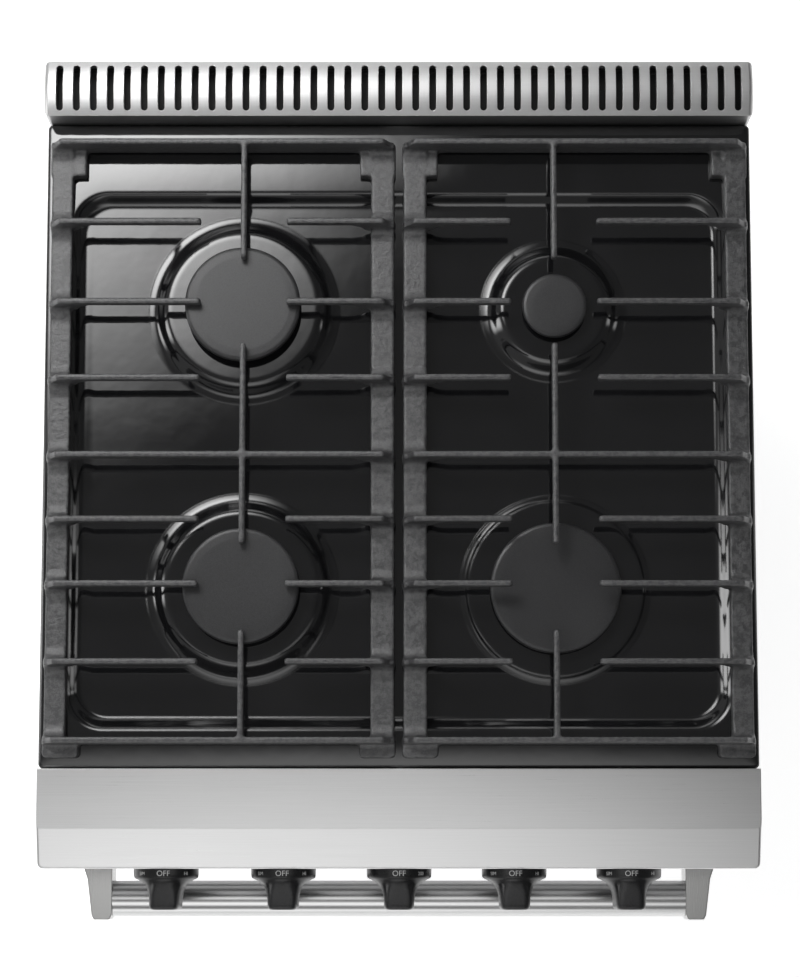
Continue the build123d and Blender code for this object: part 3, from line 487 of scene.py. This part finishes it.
def pressed_cooktop(name):
    """The enamelled sheet: rim, rounded well wall, pan and raised burner seats."""
    low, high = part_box("cooktop")
    rim_z = high.z
    pan_z = rim_z - WELL_DEPTH
    well_front, well_back = low.y + WELL_FRONT_MARGIN, high.y - WELL_BACK_MARGIN
    work = bmesh.new()

    def ring(half_x, front_y, back_y, radius, z):
        return [work.verts.new((x, y, z)) for x, y in rounded_ring(half_x, front_y, back_y, radius)]

    def hoop(centre, radius, z):
        turns = [2 * math.pi * side / SEAT_SIDES for side in range(SEAT_SIDES)]
        return [
            work.verts.new((centre.x + radius * math.cos(turn), centre.y + radius * math.sin(turn), z))
            for turn in turns
        ]

    def join(first, second):
        for step in range(len(first)):
            after = (step + 1) % len(first)
            work.faces.new((first[step], first[after], second[after], second[step]))

    def pressing(shrink, drop):
        """Rings of one skin of the sheet, from the skirt's foot to the pan."""
        half, front, back = high.x - shrink, low.y + shrink, high.y - shrink
        rings = [ring(half, front, back, SKIRT_CORNER, low.z)]
        for step in range(RIM_ROLL_STEPS + 1):
            turn = math.radians(90.0 * step / RIM_ROLL_STEPS)
            inset = RIM_ROLL * (1 - math.cos(turn))
            level = rim_z - drop - RIM_ROLL * (1 - math.sin(turn))
            rings.append(ring(half - inset, front + inset, back - inset, SKIRT_CORNER, level))
        for step in range(WALL_STEPS + 1):
            share = step / WALL_STEPS
            inset = WALL_RUN * share - WALL_OVERHANG
            rings.append(
                ring(
                    WELL_HALF_WIDTH - inset,
                    well_front + inset,
                    well_back - inset,
                    WELL_CORNER - WELL_CORNER_SHARE * inset,
                    rim_z - drop - WELL_DEPTH * eased(share),
                )
            )
        for near, far in zip(rings, rings[1:]):
            join(near, far)
        return rings

    top = pressing(0.0, 0.0)
    under = pressing(TOP_SHEET, TOP_SHEET)
    work.faces.new(top[-1])
    work.faces.new(under[-1])
    join(top[0], under[0])

    for burner, foot, seat, height in SEATS:
        head_low, head_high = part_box(f"burner_head_{burner}")
        centre = (head_low + head_high) / 2
        outline = [(foot + spread, lift) for spread, lift in LIP]
        for step in range(SEAT_STEPS + 1):
            share = step / SEAT_STEPS
            lift = LIP_HEIGHT + (height - LIP_HEIGHT) * eased(share)
            outline.append((foot + (seat - foot) * share, lift))
        outline += [(seat - SEAT_SHOULDER, height), (THROAT, height), (THROAT, SUNK)]
        hoops = [hoop(centre, radius, pan_z + lift) for radius, lift in outline]
        for near, far in zip(hoops, hoops[1:] + hoops[:1]):
            join(near, far)
    bmesh.ops.recalc_face_normals(work, faces=work.faces)
    mesh = bpy.data.meshes.new(name)
    work.to_mesh(mesh)
    work.free()
    shade_smooth(mesh, 40.0)
    return mesh


cooktop = add_piece(
    "pressed_cooktop", pressed_cooktop("pressed_cooktop"), "enamel", body_of_node["cooktop"]
)
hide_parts("cooktop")


# ---------------------------------------------------------------- backguard interior: a matt black baffle, painted shade under the slots


BAFFLE_SHEET = 0.0010
BAFFLE_BEND = 0.0030
BEND_STEPS = 6
# Clearances inside the backguard, and the depths of the fold's rim and foot under its top.
BAFFLE_END_GAP = 0.0040
BAFFLE_SIDE_GAP = 0.0030
BAFFLE_FOOT = 0.0240
BAFFLE_RIM = 0.0140


def trough_profile(front, back, foot, rim, shrink):
    """Front rim, two rounded bends and back rim of a folded sheet, in Y and Z."""
    radius = BAFFLE_BEND - shrink
    front_centre, back_centre = front + BAFFLE_BEND, back - BAFFLE_BEND
    centre_z = foot + BAFFLE_BEND
    points = [(front + shrink, rim)]
    for step in range(BEND_STEPS + 1):
        turn = math.radians(180.0 + 90.0 * step / BEND_STEPS)
        points.append((front_centre + radius * math.cos(turn), centre_z + radius * math.sin(turn)))
    for step in range(BEND_STEPS + 1):
        turn = math.radians(270.0 + 90.0 * step / BEND_STEPS)
        points.append((back_centre + radius * math.cos(turn), centre_z + radius * math.sin(turn)))
    points.append((back - shrink, rim))
    return points


def folded_trough(name, low, high):
    """A sheet folded up along its front and back edges, closed on every side."""
    outer = trough_profile(low[1], high[1], low[2], high[2], 0.0)
    inner = trough_profile(low[1], high[1], low[2], high[2], BAFFLE_SHEET)
    outline = outer + inner[::-1]
    work = bmesh.new()
    ends = [[work.verts.new((x, y, z)) for y, z in outline] for x in (low[0], high[0])]
    count, last = len(outline), len(outline) - 1
    for step in range(count):
        after = (step + 1) % count
        work.faces.new((ends[0][step], ends[0][after], ends[1][after], ends[1][step]))
    for end in ends:
        for step in range(len(outer) - 1):
            work.faces.new((end[step], end[step + 1], end[last - step - 1], end[last - step]))
    bmesh.ops.recalc_face_normals(work, faces=work.faces)
    mesh = bpy.data.meshes.new(name)
    work.to_mesh(mesh)
    work.free()
    shade_smooth(mesh, 40.0)
    return mesh


# A matt black folded sheet under the backguard's slots, a dark sheet that stands in as painted shade
# seen through them.
guard_low, guard_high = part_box("backguard")
shade_baffle_mesh = folded_trough(
    "painted_shade_baffle",
    (guard_low.x + BAFFLE_END_GAP, guard_low.y + BAFFLE_SIDE_GAP, guard_high.z - BAFFLE_FOOT),
    (guard_high.x - BAFFLE_END_GAP, guard_high.y - BAFFLE_SIDE_GAP, guard_high.z - BAFFLE_RIM),
)
add_piece("painted_shade_baffle", shade_baffle_mesh, "burner_black", body_of_node["backguard"])


# ---------------------------------------------------------------- knobs

# Stations from the back of the skirt to the tip of the grip: share of the length,
# half width, half height, squareness of the section.
KNOB_STATIONS = (
    (0.000, 0.0268, 0.0268, 2.0),
    (0.012, 0.0277, 0.0277, 2.0),
    (0.030, 0.0280, 0.0280, 2.0),
    (0.240, 0.0279, 0.0279, 2.0),
    (0.400, 0.0277, 0.0277, 2.0),
    (0.440, 0.0274, 0.0276, 2.0),
    (0.458, 0.0268, 0.0273, 2.0),
    (0.470, 0.0258, 0.0269, 2.02),
    (0.482, 0.0244, 0.0265, 2.06),
    (0.500, 0.0225, 0.0262, 2.15),
    (0.525, 0.0203, 0.0259, 2.3),
    (0.555, 0.0184, 0.0257, 2.6),
    (0.590, 0.0168, 0.0256, 3.0),
    (0.630, 0.0155, 0.0255, 3.6),
    (0.680, 0.0144, 0.0254, 4.4),
    (0.740, 0.0136, 0.0253, 5.2),
    (0.820, 0.0131, 0.0251, 6.0),
    (0.910, 0.0128, 0.0249, 6.6),
    (0.945, 0.0127, 0.0248, 6.6),
    (0.962, 0.0125, 0.0246, 6.4),
    (0.978, 0.0120, 0.0241, 6.2),
    (0.990, 0.0113, 0.0234, 6.0),
    (0.997, 0.0104, 0.0226, 5.8),
    (1.000, 0.0093, 0.0215, 5.6),
)
KNOB_SIDES = 96

# Lettering on the skirt: its radius and place, and each mark with its turn in degrees.
SKIRT_RADIUS = 0.0278
TEXT_OFFSET = 0.0192
TEXT_DEPTH = 0.00004
TEXT_CLEARANCE = 0.00005
OFF_SIZE = 0.0066
MARK_SIZE = 0.0042
OVEN_KNOB = 3
OVEN_MARKS = (("200", 42), ("250", 75), ("300", 108), ("400", 160), ("500", 215))
BURNER_MARKS = (("HI", 42), ("MED", 110), ("LO", 175), ("SIM", -42))


def knob_mesh(name, centre, back_y, front_y):
    """A knob lofted from a round skirt into a tall bar grip."""
    mesh = bpy.data.meshes.new(name)
    work = bmesh.new()
    rings = []
    for share, half_width, half_height, power in KNOB_STATIONS:
        ring = []
        for step in range(KNOB_SIDES):
            turn = 2 * math.pi * step / KNOB_SIDES
            across, upward = math.cos(turn), math.sin(turn)
            ring.append(
                work.verts.new(
                    (
                        centre.x + half_width * math.copysign(abs(across) ** (2 / power), across),
                        back_y + (front_y - back_y) * share,
                        centre.z + half_height * math.copysign(abs(upward) ** (2 / power), upward),
                    )
                )
            )
        rings.append(ring)
    for near, far in zip(rings, rings[1:]):
        for step in range(KNOB_SIDES):
            after = (step + 1) % KNOB_SIDES
            work.faces.new((near[step], near[after], far[after], far[step]))
    work.faces.new(reversed(rings[0]))
    work.faces.new(rings[-1])
    bmesh.ops.recalc_face_normals(work, faces=work.faces)
    work.to_mesh(mesh)
    work.free()
    shade_smooth(mesh, 50.0)
    return mesh


def skirt_text(number, text, size, turn, centre, y):
    """White lettering wrapped on the skirt, turned round the knob's axis by an angle."""
    name = f"knob_{number}_{text.lower()}"
    mesh = text_mesh(name, text, size, TEXT_DEPTH)
    for vertex in mesh.vertices:
        around = vertex.co.x / SKIRT_RADIUS + math.radians(turn)
        lift = SKIRT_RADIUS + TEXT_CLEARANCE + vertex.co.z
        vertex.co = Vector(
            (centre.x + lift * math.sin(around), y + vertex.co.y, centre.z + lift * math.cos(around))
        )
    return add_piece(name, mesh, "print_white", f"dial_{number}")


for number in range(1, 6):
    low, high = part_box(f"knob_{number}")
    centre = (low + high) / 2
    mesh = knob_mesh(f"knob_grip_{number}", centre, high.y, low.y)
    knob = add_piece(f"knob_grip_{number}", mesh, "knob_black", f"dial_{number}")
    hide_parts(f"knob_{number}")
    text_y = high.y - TEXT_OFFSET
    skirt_text(number, "OFF", OFF_SIZE, 0, centre, text_y)
    for mark, turn in OVEN_MARKS if number == OVEN_KNOB else BURNER_MARKS:
        skirt_text(number, mark, MARK_SIZE, turn, centre, text_y)


# ---------------------------------------------------------------- studio

WHITE = (1.0, 1.0, 1.0, 1.0)
FLOOR_REACH = 30.0
FLOOR_GAP = 0.0005
FLOOR_GLOW = 0.74
PANEL_FADE = 0.8
# Panel lights: name, centre, size, strength and the point each one faces.
PANELS = (
    ("softbox_back_left", (-0.60, 0.86, 2.35), (1.5, 1.3), 9.5, (-0.60, 0.86, 0.0)),
    ("strip_over_ledge", (-0.08, -0.33, 1.6), (1.6, 0.34), 1.25, (-0.08, -0.33, 0.0)),
    ("overhead_front", (-0.2, -1.35, 2.2), (2.8, 1.1), 1.5, (0.0, -0.3, 0.9)),
    ("strip_left", (-2.0, 0.1, 1.5), (0.9, 1.8), 5.0, (0.2, 0.0, 0.9)),
    ("wall_back", (-0.3, 2.6, 1.7), (3.2, 1.3), 1.8, (0.0, 0.3, 0.9)),
    ("wall_front", (-0.3, -2.4, 1.05), (3.0, 1.1), 1.35, (0.0, -0.3, 0.75)),
    ("strip_right", (2.1, 0.2, 1.4), (0.5, 1.4), 2.2, (0.2, 0.0, 0.9)),
)


def emitter(name, centre, size, strength, aim):
    """A soft panel light that fades toward its edges and that the camera does not see."""
    mesh = bpy.data.meshes.new(name)
    half_x, half_y = size[0] / 2, size[1] / 2
    mesh.from_pydata(
        [(-half_x, -half_y, 0), (half_x, -half_y, 0), (half_x, half_y, 0), (-half_x, half_y, 0)],
        [],
        [(0, 1, 2, 3)],
    )
    obj = bpy.data.objects.new(name, mesh)
    bpy.context.scene.collection.objects.link(obj)
    obj.location = centre
    obj.rotation_mode = "QUATERNION"
    obj.rotation_quaternion = (Vector(aim) - Vector(centre)).to_track_quat("Z", "Y")
    obj.visible_camera = False
    material = bpy.data.materials.new(name)
    material.use_nodes = True
    tree = material.node_tree
    tree.nodes.clear()
    out = tree.nodes.new("ShaderNodeOutputMaterial")
    light = tree.nodes.new("ShaderNodeEmission")
    coordinate = tree.nodes.new("ShaderNodeTexCoord")
    mapping = tree.nodes.new("ShaderNodeMapping")
    # Runs from -1 to 1 across the panel, so that the fade starts from its middle.
    mapping.inputs["Location"].default_value = (-1.0, -1.0, 0.0)
    mapping.inputs["Scale"].default_value = (2.0, 2.0, 0.0)
    fade = tree.nodes.new("ShaderNodeTexGradient")
    fade.gradient_type = "SPHERICAL"
    ease = tree.nodes.new("ShaderNodeMapRange")
    ease.inputs["From Max"].default_value = PANEL_FADE
    ease.inputs["To Max"].default_value = strength
    ease.interpolation_type = "SMOOTHSTEP"
    tree.links.new(coordinate.outputs["Generated"], mapping.inputs["Vector"])
    tree.links.new(mapping.outputs["Vector"], fade.inputs["Vector"])
    tree.links.new(fade.outputs["Fac"], ease.inputs["Value"])
    tree.links.new(ease.outputs["Result"], light.inputs["Strength"])
    clear = tree.nodes.new("ShaderNodeBsdfTransparent")
    both = tree.nodes.new("ShaderNodeAddShader")
    tree.links.new(light.outputs["Emission"], both.inputs[0])
    tree.links.new(clear.outputs["BSDF"], both.inputs[1])
    tree.links.new(both.outputs["Shader"], out.inputs["Surface"])
    mesh.materials.append(material)


for panel in PANELS:
    emitter(*panel)


def spread_node(tree, source, from_range, to_range, interpolation="LINEAR"):
    """A map-range node in the world's tree."""
    node = tree.nodes.new("ShaderNodeMapRange")
    node.interpolation_type = interpolation
    node.inputs["From Min"].default_value, node.inputs["From Max"].default_value = from_range
    node.inputs["To Min"].default_value, node.inputs["To Max"].default_value = to_range
    tree.links.new(source, node.inputs["Value"])
    return node.outputs["Result"]


def studio_world():
    """A dim room for light and reflections, brighter on the left, and plain white to the camera."""
    world = bpy.data.worlds.new("studio")
    bpy.context.scene.world = world
    world.use_nodes = True
    tree = world.node_tree
    tree.nodes.clear()
    out = tree.nodes.new("ShaderNodeOutputWorld")
    room = tree.nodes.new("ShaderNodeBackground")
    room.inputs["Color"].default_value = WHITE
    coordinate = tree.nodes.new("ShaderNodeTexCoord")
    split = tree.nodes.new("ShaderNodeSeparateXYZ")
    tree.links.new(coordinate.outputs["Generated"], split.inputs["Vector"])
    height = spread_node(tree, split.outputs["Z"], (0.45, 0.97), (0.24, 0.17), "SMOOTHSTEP")
    sideways = spread_node(tree, split.outputs["X"], (-0.4, 0.4), (1.25, 0.45))
    strength = tree.nodes.new("ShaderNodeMath")
    strength.operation = "MULTIPLY"
    tree.links.new(height, strength.inputs[0])
    tree.links.new(sideways, strength.inputs[1])
    tree.links.new(strength.outputs["Value"], room.inputs["Strength"])
    backdrop = tree.nodes.new("ShaderNodeBackground")
    backdrop.inputs["Strength"].default_value = 1.0
    backdrop.inputs["Color"].default_value = WHITE
    rays = tree.nodes.new("ShaderNodeLightPath")
    chosen = tree.nodes.new("ShaderNodeMixShader")
    tree.links.new(rays.outputs["Is Camera Ray"], chosen.inputs["Fac"])
    tree.links.new(room.outputs["Background"], chosen.inputs[1])
    tree.links.new(backdrop.outputs["Background"], chosen.inputs[2])
    tree.links.new(chosen.outputs["Shader"], out.inputs["Surface"])


def studio_floor():
    """A wide pale floor just under the legs."""
    mesh = bpy.data.meshes.new("floor")
    reach = FLOOR_REACH
    corners = [(-reach, -reach, 0), (reach, -reach, 0), (reach, reach, 0), (-reach, reach, 0)]
    mesh.from_pydata(corners, [], [(0, 1, 2, 3)])
    floor = bpy.data.objects.new("floor", mesh)
    bpy.context.scene.collection.objects.link(floor)
    floor.location.z = cad_box[0].z - FLOOR_GAP
    graph = Graph("floor")
    mottle = graph.noise(2.0, 2.0, 0.5)
    pale = ((0.0, (0.9, 0.9, 0.9)), (1.0, (0.93, 0.93, 0.93)))
    graph.feed("Base Color", graph.ramp(mottle, pale))
    graph.fixed(Roughness=0.9, Emission_Color=WHITE, Emission_Strength=FLOOR_GLOW)
    mesh.materials.append(graph.material)


def studio_camera():
    """The camera high above the ledge, tilted slightly toward the back, with some lens shift."""
    lens = bpy.data.cameras.new("camera")
    lens.sensor_width = 36.0
    lens.lens = 90.7
    lens.shift_y = 0.12
    lens.clip_start = 0.05
    lens.clip_end = 50.0
    camera = bpy.data.objects.new("camera", lens)
    bpy.context.scene.collection.objects.link(camera)
    camera.location = (0.001, -0.336, 2.976)
    camera.rotation_euler = (math.radians(6.49), 0.0, 0.0)
    bpy.context.scene.camera = camera


studio_world()
studio_floor()
studio_camera()

scene = bpy.context.scene
scene.view_settings.view_transform = "Standard"
scene.view_settings.look = "None"
scene.cycles.max_bounces = 8

bpy.context.view_layer.update()
